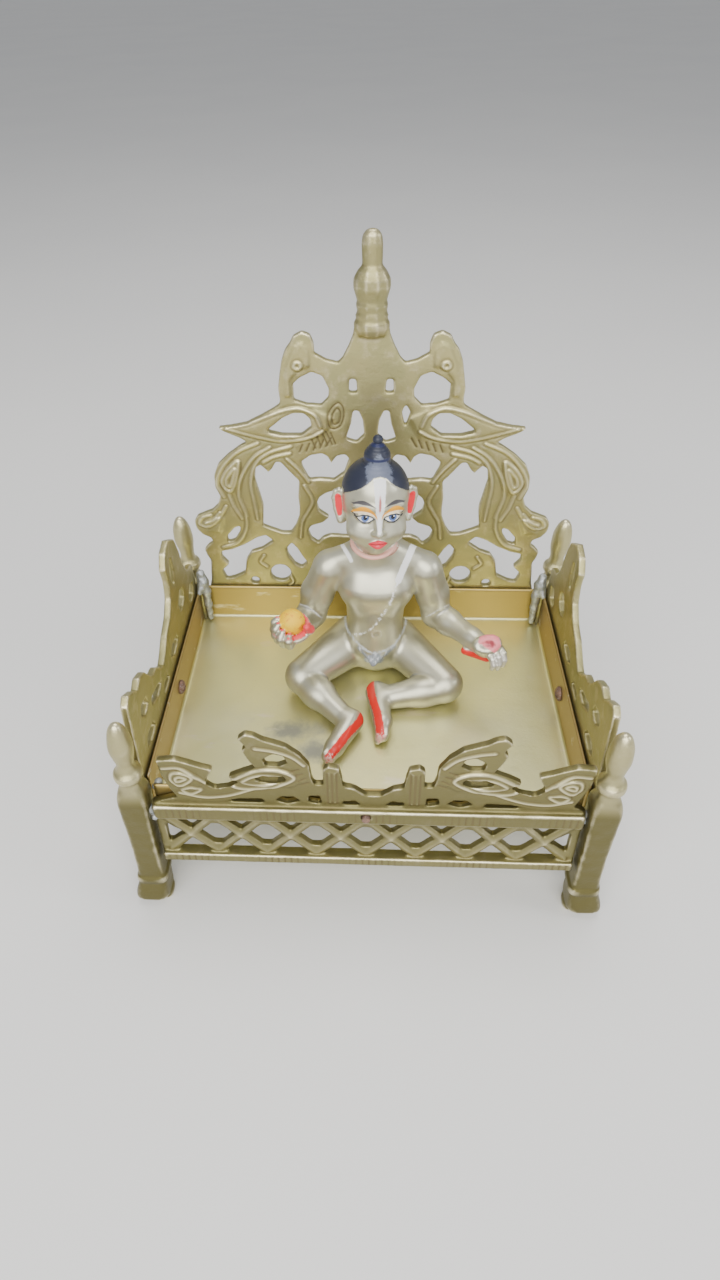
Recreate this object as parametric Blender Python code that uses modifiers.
"""A seated child figure of cast brass on its own brass throne.

The throne is a bent sheet tray held between four cast legs by four pierced panels,
and a screw fixes each panel to the tray's rim. Metres, +Z up, the front faces -Y and
the origin is on the ground under the throne's middle.
"""

import math

import bmesh
import bpy
from mathutils import Matrix, Vector

# The throne's driving sizes
LEG_SPACING_X = 0.231
LEG_SPACING_Y = 0.169
LEG_WIDTH = 0.015
LEG_HEIGHT = 0.1395
HOOF_HEIGHT = 0.0205
SHOULDER_HEIGHT = 0.0945
COLLAR_HEIGHT = 0.1065
LEG_SIDES = 8

PLATE_THICKNESS = 0.0040
PANEL_INSET = 0.0015
APRON_BOTTOM = 0.0350
LOW_BAND_HEIGHT = 0.0065
LATTICE_PITCH = 0.0250
LATTICE_END = 0.0047
LATTICE_STRAND = 0.0052
LATTICE_BLUNT = 0.0024
HIGH_BAND_BOTTOM = 0.0710
HIGH_BAND_HEIGHT = 0.0105
BAND_PROJECTION = 0.0030
BACK_CREST_HEIGHT = 0.2270
FRONT_CREST_HEIGHT = 0.0521
SIDE_CREST_HEIGHT = 0.0765
SPIRE_RADIUS = 0.0098
SPIRE_DEPTH = 0.0140
RELIEF = 0.0009

TRAY_FLOOR_HEIGHT = 0.0630
TRAY_SHEET = 0.0010
TRAY_RIM_HEIGHT = 0.0260

SCREW_RADIUS = 0.0020
SCREW_HEAD_RADIUS = 0.0043
SCREW_HEAD_LENGTH = 0.0026
SCREW_END_LENGTH = 0.0016

FIGURE_HEIGHT = 0.1590
FIGURE_X = 0.0040
FIGURE_Y = 0.0330
FIGURE_VOXEL_SHARE = 1 / 150
FIGURE_SOFTENING = 8
FIGURE_FACE_SHARE = 0.0210

# Clearances between pieces
JOINT_GAP = 0.0003
TRAY_GAP = 0.0010
HOLE_CLEARANCE = 0.0004

# The frame in which the ornament and the figure are drawn, in millimetres
DRAWN_BAND_TOP = 81.5
DRAWN_X_HALF = 107.7
DRAWN_Y_HALF = 76.7
DRAWN_BACK_CREST = 227.0
DRAWN_FRONT_CREST = 52.1
DRAWN_SIDE_CREST = 76.5
DRAWN_FIGURE = 159.0
MILLIMETRE = 0.001

# How the solids are made
OVERLAP = 0.0006
WELD = 0.00001
HOLE_SIDES = 8
SCREW_SIDES = 8
SPIRE_SIDES = 10
SHARP_ANGLE = math.radians(40)

BRASS = (0.52, 0.44, 0.26)
TRAY_BRASS = (0.60, 0.52, 0.33)
RUST = (0.22, 0.10, 0.06)
SATIN_BRASS = (0.50, 0.46, 0.38)

panel_half_x = LEG_SPACING_X / 2 - LEG_WIDTH / 2 - JOINT_GAP
panel_half_y = LEG_SPACING_Y / 2 - LEG_WIDTH / 2 - JOINT_GAP
panel_x = LEG_SPACING_X / 2 - PANEL_INSET
panel_y = LEG_SPACING_Y / 2 - PANEL_INSET
band_top = HIGH_BAND_BOTTOM + HIGH_BAND_HEIGHT
tray_half_x = panel_x - PLATE_THICKNESS / 2 - TRAY_GAP
tray_half_y = panel_y - PLATE_THICKNESS / 2 - TRAY_GAP
seat_height = TRAY_FLOOR_HEIGHT + TRAY_SHEET
rim_top = TRAY_FLOOR_HEIGHT + TRAY_RIM_HEIGHT
screw_height = (seat_height + rim_top) / 2
hole_radius = SCREW_RADIUS + HOLE_CLEARANCE


def clear_scene():
    for thing in list(bpy.data.objects):
        bpy.data.objects.remove(thing, do_unlink=True)


def new_collection(name):
    collection = bpy.data.collections.new(name)
    bpy.context.scene.collection.children.link(collection)
    return collection


clear_scene()
THRONE = new_collection("seated_child_on_throne")
CUTTERS = new_collection("cutters")


def metal(name, colour, roughness):
    material = bpy.data.materials.new(name)
    material.use_nodes = True
    shader = material.node_tree.nodes["Principled BSDF"]
    shader.inputs["Base Color"].default_value = (*colour, 1.0)
    shader.inputs["Roughness"].default_value = roughness
    shader.inputs["Metallic"].default_value = 1.0
    return material


def add_object(name, mesh, collection, material=None):
    thing = bpy.data.objects.new(name, mesh)
    collection.objects.link(thing)
    if material:
        mesh.materials.clear()
        mesh.materials.append(material)
    return thing


def as_cutter(thing):
    thing.hide_render = True
    thing.display_type = "WIRE"
    return thing


def mesh_from(bm, name):
    bmesh.ops.recalc_face_normals(bm, faces=bm.faces)
    mesh = bpy.data.meshes.new(name)
    bm.to_mesh(mesh)
    bm.free()
    return mesh


def box_mesh(name, low, high):
    bm = bmesh.new()
    middle = (Vector(low) + Vector(high)) / 2
    size = Vector(high) - Vector(low)
    place = Matrix.Translation(middle) @ Matrix.Diagonal((*size, 1.0))
    bmesh.ops.create_cube(bm, size=1.0, matrix=place)
    return mesh_from(bm, name)


def rod_mesh(name, start, end, radius):
    bm = bmesh.new()
    axis = Vector(end) - Vector(start)
    middle = (Vector(start) + Vector(end)) / 2
    bmesh.ops.create_cone(
        bm,
        cap_ends=True,
        segments=HOLE_SIDES,
        radius1=radius,
        radius2=radius,
        depth=axis.length,
        matrix=Matrix.Translation(middle) @ axis.to_track_quat("Z", "Y").to_matrix().to_4x4(),
    )
    return mesh_from(bm, name)


def shade_round(thing):
    thing.data.shade_smooth()
    thing.data.set_sharp_from_angle(angle=SHARP_ANGLE)
    return thing


def boolean(thing, operation, pieces):
    for index, piece in enumerate(pieces):
        modifier = thing.modifiers.new(f"{operation.lower()}_{index}", "BOOLEAN")
        modifier.operation = operation
        modifier.solver = "EXACT"
        modifier.object = piece


def circle(x, z, radius, sides):
    turns = (2 * math.pi * index / sides for index in range(sides))
    return [Vector((x + radius * math.cos(turn), z + radius * math.sin(turn))) for turn in turns]


def mirrored(loop):
    return [Vector((-x, z)) for x, z in reversed(loop)]


def flat_mesh(name, loops, half_thickness):
    """The areas inside the loops, which lie apart, as plates across their middle plane."""
    curve = bpy.data.curves.new(name, "CURVE")
    curve.dimensions = "2D"
    curve.fill_mode = "BOTH"
    curve.extrude = half_thickness / MILLIMETRE
    for loop in loops:
        spline = curve.splines.new("POLY")
        spline.points.add(len(loop) - 1)
        spline.use_cyclic_u = True
        for point, (x, z) in zip(spline.points, loop, strict=True):
            point.co = (x / MILLIMETRE, z / MILLIMETRE, 0.0, 1.0)
    drawing = bpy.data.objects.new(name, curve)
    bpy.context.scene.collection.objects.link(drawing)
    drawing.matrix_world = Matrix.Rotation(math.radians(90), 4, "X") @ Matrix.Scale(MILLIMETRE, 4)
    bpy.context.view_layer.update()
    evaluated = drawing.evaluated_get(bpy.context.evaluated_depsgraph_get())
    mesh = bpy.data.meshes.new_from_object(evaluated)
    mesh.transform(drawing.matrix_world)
    bpy.data.objects.remove(drawing, do_unlink=True)
    bpy.data.curves.remove(curve)
    bm = bmesh.new()
    bm.from_mesh(mesh)
    bmesh.ops.remove_doubles(bm, verts=bm.verts, dist=WELD)
    bmesh.ops.dissolve_limit(bm, angle_limit=math.radians(0.5), verts=bm.verts, edges=bm.edges)
    bpy.data.meshes.remove(mesh)
    return mesh_from(bm, name)


# Legs
def ring_of(width, squareness, offset, height):
    ring = []
    for index in range(LEG_SIDES):
        turn = 2 * math.pi * index / LEG_SIDES
        x = math.copysign(abs(math.cos(turn)) ** (2 / squareness), math.cos(turn))
        y = math.copysign(abs(math.sin(turn)) ** (2 / squareness), math.sin(turn))
        ring.append(Vector((x * width + offset, y * width, height)))
    return ring


def leg_sections():
    """Half width, squareness, outward offset and height of each section, from the ground up."""
    half = LEG_WIDTH / 2
    hoof = HOOF_HEIGHT
    pilaster = SHOULDER_HEIGHT - hoof
    bud = LEG_HEIGHT - COLLAR_HEIGHT
    collar = COLLAR_HEIGHT - SHOULDER_HEIGHT
    return [
        (0.66 * half, 4, -0.35 * half, 0.0),
        (0.76 * half, 4, -0.30 * half, 0.22 * hoof),
        (1.28 * half, 4, 0.30 * half, 0.27 * hoof),
        (1.18 * half, 5, 0.20 * half, 0.55 * hoof),
        (1.02 * half, 5, 0.04 * half, 0.88 * hoof),
        (1.12 * half, 5, 0.00, hoof),
        (1.12 * half, 5, 0.00, hoof + 0.055 * pilaster),
        (0.96 * half, 6, 0.00, hoof + 0.075 * pilaster),
        (0.90 * half, 6, 0.00, hoof + 0.45 * pilaster),
        (0.97 * half, 6, 0.00, hoof + 0.80 * pilaster),
        (0.96 * half, 5, 0.00, hoof + 0.93 * pilaster),
        (0.74 * half, 3, 0.00, SHOULDER_HEIGHT + 0.10 * collar),
        (0.70 * half, 2, 0.00, SHOULDER_HEIGHT + 0.45 * collar),
        (0.95 * half, 2, 0.00, SHOULDER_HEIGHT + 0.75 * collar),
        (0.95 * half, 2, 0.00, COLLAR_HEIGHT),
        (0.62 * half, 2, 0.00, COLLAR_HEIGHT + 0.12 * bud),
        (0.58 * half, 2, 0.00, COLLAR_HEIGHT + 0.24 * bud),
        (0.76 * half, 2, 0.00, COLLAR_HEIGHT + 0.42 * bud),
        (0.78 * half, 2, 0.00, COLLAR_HEIGHT + 0.58 * bud),
        (0.62 * half, 2, 0.00, COLLAR_HEIGHT + 0.80 * bud),
        (0.34 * half, 2, 0.00, COLLAR_HEIGHT + 0.95 * bud),
        (0.12 * half, 2, 0.00, LEG_HEIGHT),
    ]


def make_leg(name, side_x, side_y, material):
    bm = bmesh.new()
    rings = []
    for width, squareness, offset, height in leg_sections():
        corners = ring_of(width, squareness, offset, height)
        rings.append([bm.verts.new((side_x * p.x, side_y * p.y, p.z)) for p in corners])
    for lower, upper in zip(rings, rings[1:], strict=False):
        for index in range(len(lower)):
            following = (index + 1) % len(lower)
            bm.faces.new((lower[index], lower[following], upper[following], upper[index]))
    bm.faces.new(rings[0])
    bm.faces.new(rings[-1])
    leg = add_object(name, mesh_from(bm, name), THRONE, material)
    leg.location = (side_x * LEG_SPACING_X / 2, side_y * LEG_SPACING_Y / 2, 0.0)
    return shade_round(leg)


# Pierced panels
class Panel:
    """The plan of one pierced casting: its outline, its holes and what stands out from its plate."""

    def __init__(self, name, half_length, drawn_half, crest_height, drawn_crest):
        self.name = name
        self.half_length = half_length
        self.across = half_length / drawn_half
        self.upward = crest_height / drawn_crest
        self.edge = []
        self.holes = []
        self.raised = []

    def drawn(self, points, shift=0.0):
        """Drawn millimetres, as metres along the panel and above the ground."""
        return [
            Vector(((x + shift) * self.across, band_top + (z - DRAWN_BAND_TOP) * self.upward))
            for x, z in points
        ]

    def outline(self, left, right):
        """The crest's two edges, each from its top down, and the straight apron below them."""
        low = APRON_BOTTOM
        half = self.half_length
        corners = [(half, band_top), (half, low), (-half, low), (-half, band_top)]
        self.edge = [*right, *(Vector(corner) for corner in corners), *reversed(left)]

    def lattice(self, blunt=0.0):
        """Diamonds between the crossings, halves at the ends and triangles above and below."""
        low = APRON_BOTTOM + LOW_BAND_HEIGHT
        high = HIGH_BAND_BOTTOM
        middle = (low + high) / 2
        rise = (high - low) / 2
        length = 2 * (self.half_length - LATTICE_END)
        cells = max(1, round(length / LATTICE_PITCH))
        pitch = length / cells
        run = pitch / 2
        slope_length = math.hypot(run, rise)
        share = 1 - LATTICE_STRAND / 2 * slope_length / (run * rise)
        apex = LATTICE_STRAND / 2 * slope_length / run
        base = run * (rise - apex) / rise
        tall = share * rise - blunt
        flat = run * blunt / rise
        for index in range(cells + 1):
            x = (index - cells / 2) * pitch
            ends = [x - flat, x + flat] if blunt and 0 < index < cells else [x]
            low_side = [(end, middle - tall) for end in ends]
            high_side = [(end, middle + tall) for end in reversed(ends)]
            right = [(x + share * run, middle)] if index < cells else []
            left = [(x - share * run, middle)] if index > 0 else []
            self.holes.append([Vector(corner) for corner in low_side + right + high_side + left])
        for index in range(cells):
            x = (index + 0.5 - cells / 2) * pitch
            for way in (-1, 1):
                far = middle + way * rise
                corners = [(x, middle + way * apex), (x - base, far), (x + base, far)]
                self.holes.append([Vector(corner) for corner in corners])


def turned_mesh(name, profile, steps):
    """A profile of radii and heights, listed from the top down, turned about Z."""
    mesh = bpy.data.meshes.new(name)
    corners = [(radius, 0.0, height) for radius, height in profile]
    edges = [(index, index + 1) for index in range(len(profile) - 1)]
    mesh.from_pydata(corners, edges, [])
    turned = add_object(name, mesh, CUTTERS)
    screw = turned.modifiers.new("turn", "SCREW")
    screw.axis = "Z"
    screw.angle = 2 * math.pi
    screw.steps = steps
    screw.render_steps = steps
    screw.use_merge_vertices = True
    screw.merge_threshold = WELD
    bpy.context.view_layer.update()
    evaluated = turned.evaluated_get(bpy.context.evaluated_depsgraph_get())
    solid = bpy.data.meshes.new_from_object(evaluated)
    bpy.data.objects.remove(turned, do_unlink=True)
    bm = bmesh.new()
    bm.from_mesh(solid)
    bmesh.ops.remove_doubles(bm, verts=bm.verts, dist=WELD)
    return mesh_from(bm, name)


def raised_pieces(panel, outer):
    """The two straight bands on the outer face and the low relief on the faces that carry it."""
    half = PLATE_THICKNESS / 2
    near, far = sorted((outer * (half - OVERLAP), outer * (half + BAND_PROJECTION)))
    reach_x = panel.half_length - OVERLAP
    bands = [(APRON_BOTTOM, APRON_BOTTOM + LOW_BAND_HEIGHT), (HIGH_BAND_BOTTOM, band_top)]
    meshes = []
    for index, (bottom, top) in enumerate(bands):
        low = (-reach_x, near, bottom + JOINT_GAP)
        high = (reach_x, far, top - JOINT_GAP)
        meshes.append(box_mesh(f"{panel.name}_band_{index}", low, high))
    for index, (loop, face) in enumerate(panel.raised):
        relief = flat_mesh(f"{panel.name}_relief_{index}", [loop], (RELIEF + OVERLAP) / 2)
        relief.transform(Matrix.Translation((0.0, face * (half + (RELIEF - OVERLAP) / 2), 0.0)))
        meshes.append(relief)
    return meshes


def build_panel(panel, outer, place, material, extra=()):
    """The plate with what stands out from it, its piercing, and the screw's hole."""
    through = PLATE_THICKNESS + BAND_PROJECTION
    plate = flat_mesh(panel.name, [panel.edge], PLATE_THICKNESS / 2)
    body = add_object(panel.name, plate, THRONE, material)
    joined = [*extra, *raised_pieces(panel, outer)]
    pieces = [as_cutter(add_object(mesh.name, mesh, CUTTERS)) for mesh in joined]
    cuts = [
        flat_mesh(f"{panel.name}_piercing", panel.holes, through),
        rod_mesh(f"{panel.name}_hole", (0, -through, screw_height), (0, through, screw_height), hole_radius),
    ]
    cutters = [as_cutter(add_object(mesh.name, mesh, CUTTERS)) for mesh in cuts]
    boolean(body, "UNION", pieces)
    boolean(body, "DIFFERENCE", cutters)
    for thing in (body, *pieces, *cutters):
        thing.matrix_world = place
    return body


BACK_EDGE = [
    (9.0, 260.5), (9.8, 256.0), (12.4, 249.5), (15.4, 243.5), (18.0, 240.6), (24.0, 242.2), (30.6, 246.0),
    (30.4, 251.0), (32.2, 256.0), (36.8, 257.8), (41.4, 255.4), (43.2, 251.6), (46.2, 247.5), (48.4, 241.5),
    (49.8, 233.5), (51.0, 226.0), (50.4, 219.5), (51.0, 216.2), (55.5, 213.2), (62.0, 209.4), (70.0, 205.2),
    (78.0, 203.4), (86.6, 202.2), (84.4, 200.0), (79.0, 197.6), (74.6, 195.6), (71.0, 193.0), (76.0, 190.0),
    (83.2, 184.6), (89.2, 178.6), (92.5, 171.0), (92.8, 163.0), (90.4, 156.4), (92.2, 150.6), (96.4, 146.2),
    (101.4, 144.2), (106.2, 142.0), (108.4, 138.0), (107.6, 132.6), (104.4, 128.4), (99.6, 126.0),
    (98.6, 122.6), (101.6, 120.4), (104.6, 117.0), (103.6, 112.8), (101.6, 108.4), (102.4, 100.8),
    (103.0, 93.0), (104.6, 86.0),
]
BACK_HOLES = [
    [(23.3, 226.0), (26.6, 233.3), (32.3, 235.6), (38.6, 232.3), (42.8, 228.6), (42.5, 219.2), (35.4, 216.6),
     (27.6, 216.2), (23.6, 220.6)],
    [(8.3, 231.4), (11.8, 231.4), (12.3, 223.8), (7.7, 223.8)],
    [(7.0, 212.8), (10.0, 212.8), (11.2, 204.6), (14.2, 195.4), (8.2, 193.4), (3.8, 198.0), (4.6, 206.8)],
    [(33.4, 203.0), (34.2, 208.2), (37.6, 211.4), (43.6, 211.6), (49.6, 208.6), (55.8, 203.4), (59.0, 200.2),
     (50.6, 198.0), (39.6, 198.0)],
    [(12.4, 182.6), (14.8, 185.4), (19.6, 184.4), (22.9, 179.6), (25.0, 184.0), (28.2, 186.0), (35.0, 184.6),
     (40.4, 180.4), (39.6, 176.4), (36.0, 168.4), (29.4, 169.2), (21.6, 168.4), (15.6, 173.2)],
    [(42.2, 167.4), (47.6, 173.8), (52.4, 180.0), (55.2, 180.4), (57.4, 176.0), (60.0, 173.2), (62.0, 175.6),
     (64.4, 178.2), (67.4, 176.2), (68.4, 168.4), (66.4, 158.6), (64.6, 149.4), (65.4, 141.2), (66.0, 135.6),
     (60.4, 132.8), (53.6, 130.2), (49.2, 130.2), (46.0, 135.2), (43.4, 142.2), (42.8, 149.0), (43.4, 156.2)],
    [(79.8, 135.2), (84.0, 133.6), (88.8, 127.6), (89.2, 122.6), (84.6, 124.2), (81.2, 130.0)],
    [(60.2, 123.8), (64.8, 128.2), (70.2, 126.4), (78.8, 120.8), (87.0, 117.0), (94.2, 115.4), (94.0, 110.6),
     (90.0, 105.4), (95.0, 100.2), (92.6, 93.4), (87.6, 94.8), (80.4, 98.8), (78.8, 109.0), (75.0, 115.4),
     (68.4, 117.8)],
    [(42.6, 112.2), (45.6, 118.2), (49.0, 122.6), (52.4, 118.4), (51.4, 113.0), (47.6, 106.2), (43.6, 103.6),
     (39.8, 107.2)],
]
BACK_ROSETTE = (57.2, 99.0)
BACK_ROSETTE_RADIUS = 6.6
BACK_EYELET = (74.2, 92.6)
BACK_EYELET_RADIUS = 3.0
BACK_CENTRE_HOLE = [
    (0.0, 161.6), (10.0, 162.4), (20.0, 161.4), (26.4, 159.2), (30.4, 156.4), (32.2, 152.0), (31.0, 146.8),
    (24.8, 142.0), (28.8, 138.2), (36.4, 135.4), (38.2, 132.0), (36.2, 126.0), (32.4, 122.8), (29.4, 126.6),
    (24.6, 128.8), (14.0, 128.0), (0.0, 127.2),
]
BACK_LOTUS_HOLE = [
    (0.0, 120.0), (6.4, 115.6), (13.0, 113.6), (16.4, 106.0), (11.6, 97.8), (4.4, 94.6), (0.0, 93.4),
]
BACK_RAISED = [
    [(21.5, 208.5), (30.5, 213.0), (44.0, 214.2), (56.0, 210.0), (66.0, 205.0), (78.0, 201.8), (70.0, 198.6),
     (56.0, 195.6), (40.0, 194.8), (27.0, 198.0)],
    [(76.5, 181.0), (84.0, 176.0), (88.2, 168.0), (86.6, 160.0), (81.6, 158.6), (77.6, 166.0)],
    [(90.0, 141.5), (98.0, 140.6), (103.6, 137.4), (100.0, 131.6), (93.4, 130.8)],
    [(45.4, 240.0), (46.6, 230.0), (46.8, 222.0), (44.6, 222.0), (44.6, 231.0), (40.4, 236.4), (33.4, 239.4),
     (33.8, 248.0), (36.8, 252.4), (41.0, 249.6)],
]
BACK_SLOT = [(19.0, 217.0), (21.8, 211.7), (19.1, 202.6), (17.0, 211.7)]


def back_panel(material):
    panel = Panel("back_panel", panel_half_x, DRAWN_X_HALF, BACK_CREST_HEIGHT, DRAWN_BACK_CREST)
    right = panel.drawn(BACK_EDGE)
    panel.outline([Vector((-x, z)) for x, z in right], right)
    for points in BACK_HOLES:
        loop = panel.drawn(points)
        panel.holes += [loop, mirrored(loop)]
    for points in (BACK_CENTRE_HOLE, BACK_LOTUS_HOLE):
        half = panel.drawn(points)
        panel.holes.append(half + [Vector((-x, z)) for x, z in reversed(half[1:-1])])
    x, z = panel.drawn([BACK_ROSETTE])[0]
    keyhole = circle(x, z, BACK_ROSETTE_RADIUS * panel.across, 12)
    small = circle(*panel.drawn([BACK_EYELET])[0], BACK_EYELET_RADIUS * panel.across, 6)
    panel.holes += [keyhole, mirrored(keyhole), small, mirrored(small), panel.drawn(BACK_SLOT)]
    for points in BACK_RAISED:
        loop = panel.drawn(points)
        panel.raised += [(loop, -1), (mirrored(loop), -1)]
    panel.lattice()
    return build_panel(panel, 1, Matrix.Translation((0.0, panel_y, 0.0)), material, [spire(panel)])


def spire(panel):
    """The turned spire, flattened to its own depth, standing on the plate's neck."""
    rows = [
        (0.00, 308.5), (0.30, 307.9), (0.50, 305.6), (0.57, 301.5), (0.54, 291.2), (0.78, 288.6),
        (0.98, 284.6), (1.00, 280.6), (0.80, 273.4), (0.88, 271.6), (0.80, 268.4), (0.89, 266.0),
        (0.84, 264.2), (0.98, 262.4), (0.95, 259.4), (0.80, 256.0), (0.0, 254.0),
    ]
    heights = panel.drawn([(0.0, height) for _, height in rows])
    profile = [(share * SPIRE_RADIUS, p.y) for (share, _), p in zip(rows, heights, strict=True)]
    mesh = turned_mesh("spire", profile, SPIRE_SIDES)
    mesh.transform(Matrix.Diagonal((1.0, SPIRE_DEPTH / 2 / SPIRE_RADIUS, 1.0, 1.0)))
    return mesh


FRONT_EDGE = [
    (3.6, 90.6), (9.6, 95.8), (14.6, 97.0), (15.4, 104.0), (16.6, 110.4), (21.8, 111.8), (24.4, 109.6),
    (24.6, 98.0), (28.6, 98.2), (29.8, 102.6), (30.6, 111.5), (34.8, 119.0), (41.2, 125.4), (51.4, 129.6),
    (55.6, 132.6), (59.8, 133.6), (63.4, 130.4), (59.9, 124.9), (62.0, 122.4), (60.2, 116.6), (56.4, 109.8),
    (63.7, 106.4),
    (70.6, 102.2), (65.6, 98.6), (71.4, 94.6), (78.0, 93.2), (81.6, 96.2), (81.2, 100.6), (79.4, 104.0),
    (77.6, 107.4), (83.4, 109.4), (89.0, 112.0), (95.4, 114.6), (104.2, 113.6), (103.2, 103.0), (100.4, 93.0),
    (97.6, 86.0),
]
FRONT_HOLES = [
    [(41.0, 114.0), (42.6, 118.6), (47.4, 120.2), (52.4, 116.4), (51.4, 111.6), (45.6, 111.2)],
    [(42.2, 101.6), (43.2, 104.8), (53.8, 105.6), (57.6, 102.6), (55.2, 100.2), (46.2, 99.8)],
    [(53.6, 83.2), (55.0, 86.4), (66.4, 86.0), (76.0, 83.4)],
    [(35.8, 85.0), (39.4, 88.6), (45.4, 88.2), (48.4, 85.2), (42.6, 83.0)],
    [(25.6, 83.2), (26.2, 89.8), (31.6, 89.4), (32.0, 84.6)],
    [(6.0, 83.0), (9.0, 86.4), (15.0, 85.8), (14.8, 83.0)],
]
FRONT_RAISED = [
    [(34.0, 101.4), (39.4, 107.6), (50.0, 109.4), (61.0, 105.8), (68.0, 102.4), (60.0, 98.6), (50.0, 96.4),
     (39.6, 96.8)],
    [(84.0, 96.4), (86.4, 103.4), (93.0, 107.4), (98.0, 103.0), (96.0, 95.6), (89.6, 91.6)],
    [(16.8, 85.0), (17.6, 108.8), (22.6, 108.8), (23.0, 85.0)],
]
FRONT_SHIFT = 3.6


def front_panel(material):
    panel = Panel("front_panel", panel_half_x, DRAWN_X_HALF, FRONT_CREST_HEIGHT, DRAWN_FRONT_CREST)
    left, right = (panel.drawn([(side * x, z) for x, z in FRONT_EDGE], FRONT_SHIFT) for side in (-1, 1))
    panel.outline(left, right)
    for side in (-1, 1):
        for points in FRONT_HOLES:
            panel.holes.append(panel.drawn([(side * x, z) for x, z in points], FRONT_SHIFT))
        for points in FRONT_RAISED:
            panel.raised.append((panel.drawn([(side * x, z) for x, z in points], FRONT_SHIFT), -1))
    panel.lattice(LATTICE_BLUNT)
    return build_panel(panel, -1, Matrix.Translation((0.0, -panel_y, 0.0)), material)


SIDE_EDGE = [
    (-74.0, 111.0), (-69.0, 113.4), (-62.4, 115.2), (-57.6, 120.4), (-53.2, 128.6), (-50.4, 139.0), (-44.6, 151.0),
    (-34.0, 157.6), (-24.0, 155.6), (-19.0, 147.6), (-21.6, 137.4), (-19.6, 127.4), (-11.0, 119.6),
    (0.0, 116.2), (7.6, 110.8),
    (14.0, 107.6), (20.0, 111.6), (25.6, 117.6), (33.0, 118.8), (37.2, 123.2), (43.0, 131.4), (51.6, 135.4),
    (57.2, 132.4), (62.0, 137.0), (69.4, 141.6), (74.0, 138.0),
]
SIDE_HOLES = [
    [(-46.0, 107.4), (-45.4, 114.8), (-38.0, 118.2), (-31.4, 112.6), (-33.4, 106.0), (-40.4, 104.2)],
    [(-33.6, 137.4), (-32.4, 146.0), (-28.6, 148.4), (-26.6, 140.0), (-28.8, 129.6), (-32.4, 128.0)],
    [(-20.0, 96.4), (-17.4, 101.6), (-6.0, 103.2), (-1.2, 99.4), (-8.0, 94.6)],
    [(7.0, 92.6), (11.0, 97.2), (19.6, 97.2), (22.2, 92.6)],
    [(22.0, 103.4), (28.4, 107.8), (41.4, 110.8), (42.4, 106.8), (31.4, 101.4)],
    [(47.0, 113.4), (49.2, 119.6), (57.0, 121.8), (60.4, 117.0), (54.6, 111.8)],
    [(44.0, 93.4), (47.6, 99.4), (58.0, 100.4), (61.6, 95.2), (54.0, 91.6)],
    [(-66.4, 93.0), (-68.0, 101.4), (-60.4, 104.4), (-54.6, 98.6), (-58.6, 92.2)],
]


def side_panel(name, side, material):
    panel = Panel(name, panel_half_y, DRAWN_Y_HALF, SIDE_CREST_HEIGHT, DRAWN_SIDE_CREST)
    crest = panel.drawn([(-side * x, z) for x, z in SIDE_EDGE])
    if side > 0:
        crest.reverse()
    middle = len(crest) // 2
    panel.outline(list(reversed(crest[:middle])), crest[middle:])
    for points in SIDE_HOLES:
        panel.holes.append(panel.drawn([(-side * x, z) for x, z in points]))
    panel.lattice()
    turn = Matrix.Rotation(side * math.radians(90), 4, "Z")
    return build_panel(panel, -1, Matrix.Translation((side * panel_x, 0.0, 0.0)) @ turn, material)


# The tray and its screws
def make_tray(material):
    low = (-tray_half_x, -tray_half_y, TRAY_FLOOR_HEIGHT)
    block = box_mesh("seat_tray", low, (tray_half_x, tray_half_y, rim_top))
    tray = add_object("seat_tray", block, THRONE, material)
    inner_x = tray_half_x - TRAY_SHEET
    inner_y = tray_half_y - TRAY_SHEET
    above = 2 * rim_top
    cuts = [box_mesh("tray_hollow", (-inner_x, -inner_y, seat_height), (inner_x, inner_y, above))]
    notch = LEG_WIDTH / 2 + TRAY_GAP
    for side_x in (-1, 1):
        for side_y in (-1, 1):
            inner = Vector((side_x * (LEG_SPACING_X / 2 - notch), side_y * (LEG_SPACING_Y / 2 - notch), 0.0))
            outer = Vector((side_x * LEG_SPACING_X, side_y * LEG_SPACING_Y, above))
            corners = [sorted(pair) for pair in zip(inner, outer, strict=True)]
            cuts.append(box_mesh("tray_notch", [pair[0] for pair in corners], [pair[1] for pair in corners]))
    for end in (Vector((LEG_SPACING_X, 0, 0)), Vector((0, LEG_SPACING_Y, 0))):
        lift = Vector((0, 0, screw_height))
        cuts.append(rod_mesh("tray_screw_hole", lift - end, lift + end, hole_radius))
    boolean(tray, "DIFFERENCE", [as_cutter(add_object(mesh.name, mesh, CUTTERS)) for mesh in cuts])
    return tray


def make_screw(name, outward, distance, material):
    """A screw with its domed head inside the rim and its end standing out of the band."""
    grip = PLATE_THICKNESS / 2 + BAND_PROJECTION + SCREW_END_LENGTH
    inside = distance - PLATE_THICKNESS / 2 - TRAY_GAP - TRAY_SHEET - JOINT_GAP
    tip = distance + grip
    head = SCREW_HEAD_RADIUS
    profile = [
        (0.0, tip),
        (0.75 * SCREW_RADIUS, tip),
        (SCREW_RADIUS, tip - 0.25 * SCREW_RADIUS),
        (SCREW_RADIUS, inside),
        (head, inside),
        (head, inside - 0.35 * SCREW_HEAD_LENGTH),
        (0.72 * head, inside - 0.85 * SCREW_HEAD_LENGTH),
        (0.0, inside - SCREW_HEAD_LENGTH),
    ]
    screw = add_object(name, turned_mesh(name, profile, SCREW_SIDES), THRONE, material)
    direction = Vector(outward).to_track_quat("Z", "Y").to_matrix().to_4x4()
    screw.matrix_world = Matrix.Translation((0.0, 0.0, screw_height)) @ direction
    return shade_round(screw)


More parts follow.
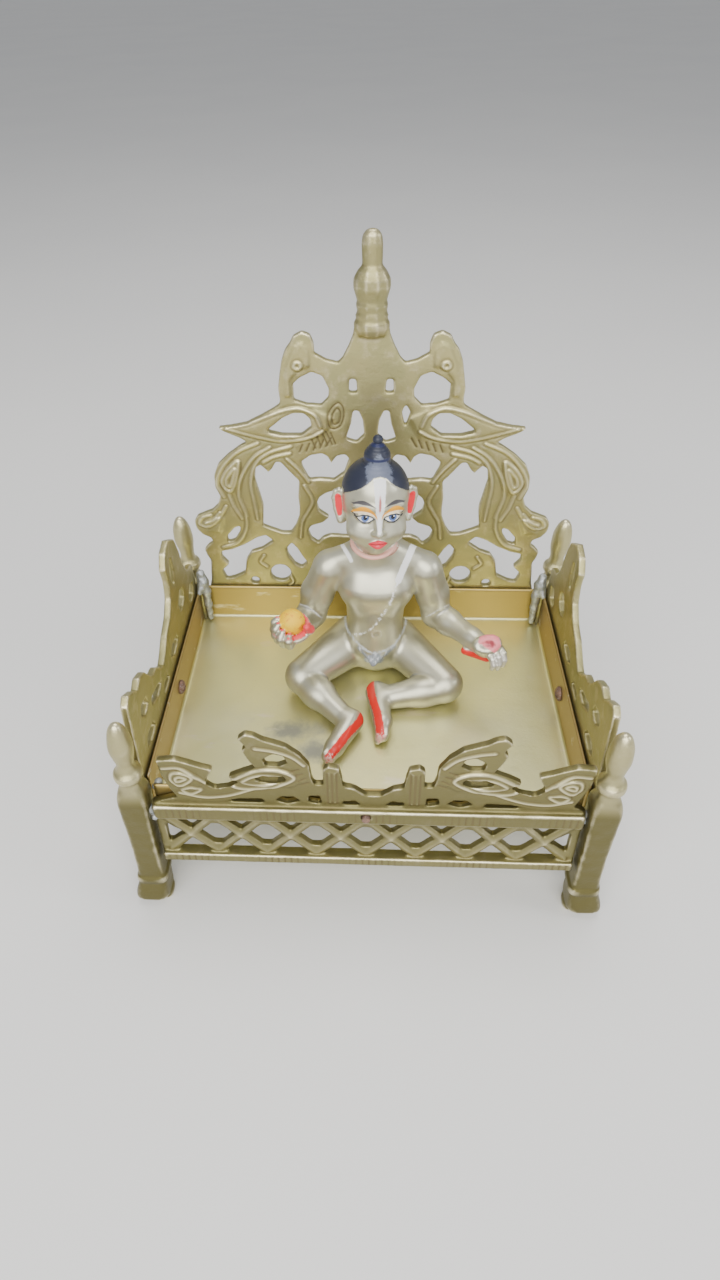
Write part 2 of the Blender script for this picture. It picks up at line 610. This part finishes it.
# The seated figure
def limb(bm, start, start_radius, end, end_radius, detail=2):
    """The hull of two balls, which is a tapered limb with round ends."""
    ball = bmesh.new()
    for place, radius in ((start, start_radius), (end, end_radius)):
        bmesh.ops.create_icosphere(
            ball, subdivisions=detail, radius=radius, matrix=Matrix.Translation(Vector(place))
        )
    bmesh.ops.delete(ball, geom=ball.faces[:], context="FACES_ONLY")
    hull = bmesh.ops.convex_hull(ball, input=ball.verts[:], use_existing_faces=False)
    unused = hull["geom_interior"] + hull["geom_unused"]
    spare = [item for item in unused if isinstance(item, bmesh.types.BMVert)]
    bmesh.ops.delete(ball, geom=spare, context="VERTS")
    bmesh.ops.recalc_face_normals(ball, faces=ball.faces)
    solid = bpy.data.meshes.new("limb")
    ball.to_mesh(solid)
    ball.free()
    bm.from_mesh(solid)
    bpy.data.meshes.remove(solid)


TRUNK = [
    ((-9, 6, 14), 13.4, (9, 6, 14), 13.4),
    ((0, 1, 14), 14.0, (-0.5, -1, 28), 15.0),
    ((-0.5, -1, 28), 14.8, (-0.5, 0, 46), 15.8),
    ((-0.5, 0, 46), 15.8, (0, 1, 60), 16.4),
    ((-6, 1, 62), 13.5, (6, 1, 62), 13.5),
    ((-9.5, 1, 68), 11.0, (9.5, 1, 68), 11.0),
    ((-26.5, 2, 78), 8.6, (-6, 1, 86.5), 8.0),
    ((26.5, 2, 78), 8.6, (4, 1, 86.5), 8.0),
    ((-1.2, 0, 80), 10.5, (-1.8, -0.5, 94), 10.2),
]
LIMBS = [
    ((-28, 1, 76), 9.3, (-38, 4, 39), 8.6),
    ((-38, 4, 39), 8.4, (-44, -17, 47), 6.2),
    ((28.5, 1, 76), 9.3, (35.5, 4, 40), 8.6),
    ((35.5, 4, 40), 8.4, (54, -20, 43), 5.8),
    ((-13, 5.5, 17.5), 15.2, (-42.5, -22.5, 13), 11.0),
    ((12.5, 5.5, 17), 14.4, (40.5, -26, 12), 11.0),
    ((-42, -24.5, 11.8), 9.8, (-18, -49.8, 8), 6.8),
    ((39.5, -28, 11), 9.8, (7, -34.2, 8), 7.2),
    ((-12.8, -52.6, 8), 7.0, (-22, -70.5, 6), 5.2),
    ((-22, -70.5, 6), 5.2, (-25.8, -77.6, 5), 4.0),
    ((1, -31, 9), 6.8, (4.5, -52, 7), 5.2),
    ((4.5, -52, 7), 5.2, (4.0, -61.6, 5), 4.0),
]
HANDS = [
    ((-44.5, -20, 49), 5.6, (-47.5, -28, 49.5), 5.6),
    ((56, -22, 43.5), 5.6, (61.5, -28.5, 43.5), 6.2),
    ((56.5, -29, 47), 2.6, (63, -33.5, 48.6), 2.6),
    ((63, -33.5, 48.6), 2.6, (67.5, -30, 47.6), 2.8),
    ((64.5, -31.5, 43), 4.0, (68, -36, 38.2), 3.4),
]
LADDU = ((-46.5, -26, 58.5), 7.3)
HEAD_PIVOT = (-1.9, 0.0, 98.0)
HEAD_TURN = 8.0
HEAD_TILT = 4.0
HEAD_LEAN = 2.3
HEAD = [
    ((0, 1, 125.5), 17.7, (0, -4.5, 106.5), 12.2),
    ((0, -16.4, 119.0), 1.6, (0, -18.4, 111.0), 2.5),
    ((-18.2, 1, 123.5), 3.6, (-16.9, 0.2, 109), 3.0),
    ((18.2, 1, 123.5), 3.6, (16.9, 0.2, 109), 3.0),
    ((-20.6, 2, 125.4), 1.7, (-19.0, 1, 113), 2.0),
    ((20.6, 2, 125.4), 1.7, (19.0, 1, 113), 2.0),
]
TOPKNOT = [(6.8, 144.5, 148.6), (5.0, 148.0, 151.4), (3.4, 151.0, 153.4), (2.7, 155.8, 156.3)]
TOPKNOT_ROUNDING = 2.4
FINGER_THICKNESS = 2.2
FINGER_TURNS = (200, 226, 252, 278)


def around(degrees):
    return Vector((math.cos(math.radians(degrees)), math.sin(math.radians(degrees)), 0.0))


def figure_fingers():
    """Four fingers curled up round the sweet's outer side, and the thumb on its inner side."""
    centre = Vector(LADDU[0])
    radius = LADDU[1] + FINGER_THICKNESS
    fingers = []
    for turn in FINGER_TURNS:
        reach = around(turn)
        root = centre + reach * 0.62 * radius + Vector((0.0, 0.0, -0.78 * radius))
        tip = centre + reach * radius + Vector((0.0, 0.0, 0.05 * radius))
        fingers.append((root, 2.2, tip, 1.8))
    thumb = centre + Vector((0.95, -0.25, 0.0)) * radius
    fingers.append((centre + Vector((0.7, 0.3, -0.8)) * radius, 2.4, thumb, 2.0))
    return fingers


def head_place():
    """Takes an upright head that faces -Y to its place, turned and tilted on the neck."""
    pivot = Vector(HEAD_PIVOT)
    turn = Matrix.Rotation(math.radians(HEAD_TURN), 4, "Z")
    tilt = Matrix.Rotation(math.radians(-HEAD_TILT), 4, "X")
    lean = Matrix.Rotation(math.radians(HEAD_LEAN), 4, "Y")
    return Matrix.Translation(pivot) @ turn @ tilt @ lean @ Matrix.Translation((0.0, 0.0, -pivot.z))


def make_figure(material):
    share = FIGURE_HEIGHT / DRAWN_FIGURE
    bm = bmesh.new()
    for start, start_radius, end, end_radius in TRUNK + LIMBS + HANDS + figure_fingers():
        limb(bm, start, start_radius, end, end_radius)
    limb(bm, LADDU[0], LADDU[1], LADDU[0], LADDU[1])
    place = head_place()
    for start, start_radius, end, end_radius in HEAD:
        limb(bm, place @ Vector(start), start_radius, place @ Vector(end), end_radius)
    for radius, low, high in TOPKNOT:
        rounding = min(radius, TOPKNOT_ROUNDING)
        for turn in range(0, 360, 60):
            reach = around(turn) * (radius - rounding)
            ends = [place @ (reach + Vector((0.0, 0.0, height))) for height in (low, high)]
            limb(bm, ends[0], rounding, ends[1], rounding, 1)
    mesh = mesh_from(bm, "seated_child")
    mesh.transform(Matrix.Scale(share, 4))
    figure = add_object("seated_child", mesh, THRONE, material)
    remesh = figure.modifiers.new("fuse", "REMESH")
    remesh.mode = "VOXEL"
    remesh.voxel_size = FIGURE_HEIGHT * FIGURE_VOXEL_SHARE
    soften = figure.modifiers.new("soften", "SMOOTH")
    soften.factor = 0.5
    soften.iterations = FIGURE_SOFTENING
    thin_out = figure.modifiers.new("thin_out", "DECIMATE")
    thin_out.ratio = FIGURE_FACE_SHARE
    thin_out.use_collapse_triangulate = True
    reach = FIGURE_HEIGHT
    under = box_mesh("under_seat", (-reach, -reach, -reach), (reach, reach, JOINT_GAP))
    cutter = as_cutter(add_object("under_seat", under, CUTTERS))
    boolean(figure, "DIFFERENCE", [cutter])
    for thing in (figure, cutter):
        thing.location = (FIGURE_X, FIGURE_Y, seat_height)
    return shade_round(figure)


def main():
    brass = metal("cast_brass", BRASS, 0.42)
    sheet = metal("sheet_brass", TRAY_BRASS, 0.45)
    rust = metal("rusty_screw", RUST, 0.75)
    satin = metal("satin_brass", SATIN_BRASS, 0.32)
    for name, side_x, side_y in (
        ("leg_front_left", -1, -1),
        ("leg_front_right", 1, -1),
        ("leg_back_left", -1, 1),
        ("leg_back_right", 1, 1),
    ):
        make_leg(name, side_x, side_y, brass)
    front_panel(brass)
    back_panel(brass)
    side_panel("side_panel_left", -1, brass)
    side_panel("side_panel_right", 1, brass)
    make_tray(sheet)
    make_screw("screw_left", (-1, 0, 0), panel_x, rust)
    make_screw("screw_right", (1, 0, 0), panel_x, rust)
    make_screw("screw_front", (0, -1, 0), panel_y, rust)
    make_screw("screw_back", (0, 1, 0), panel_y, rust)
    make_figure(satin)


main()
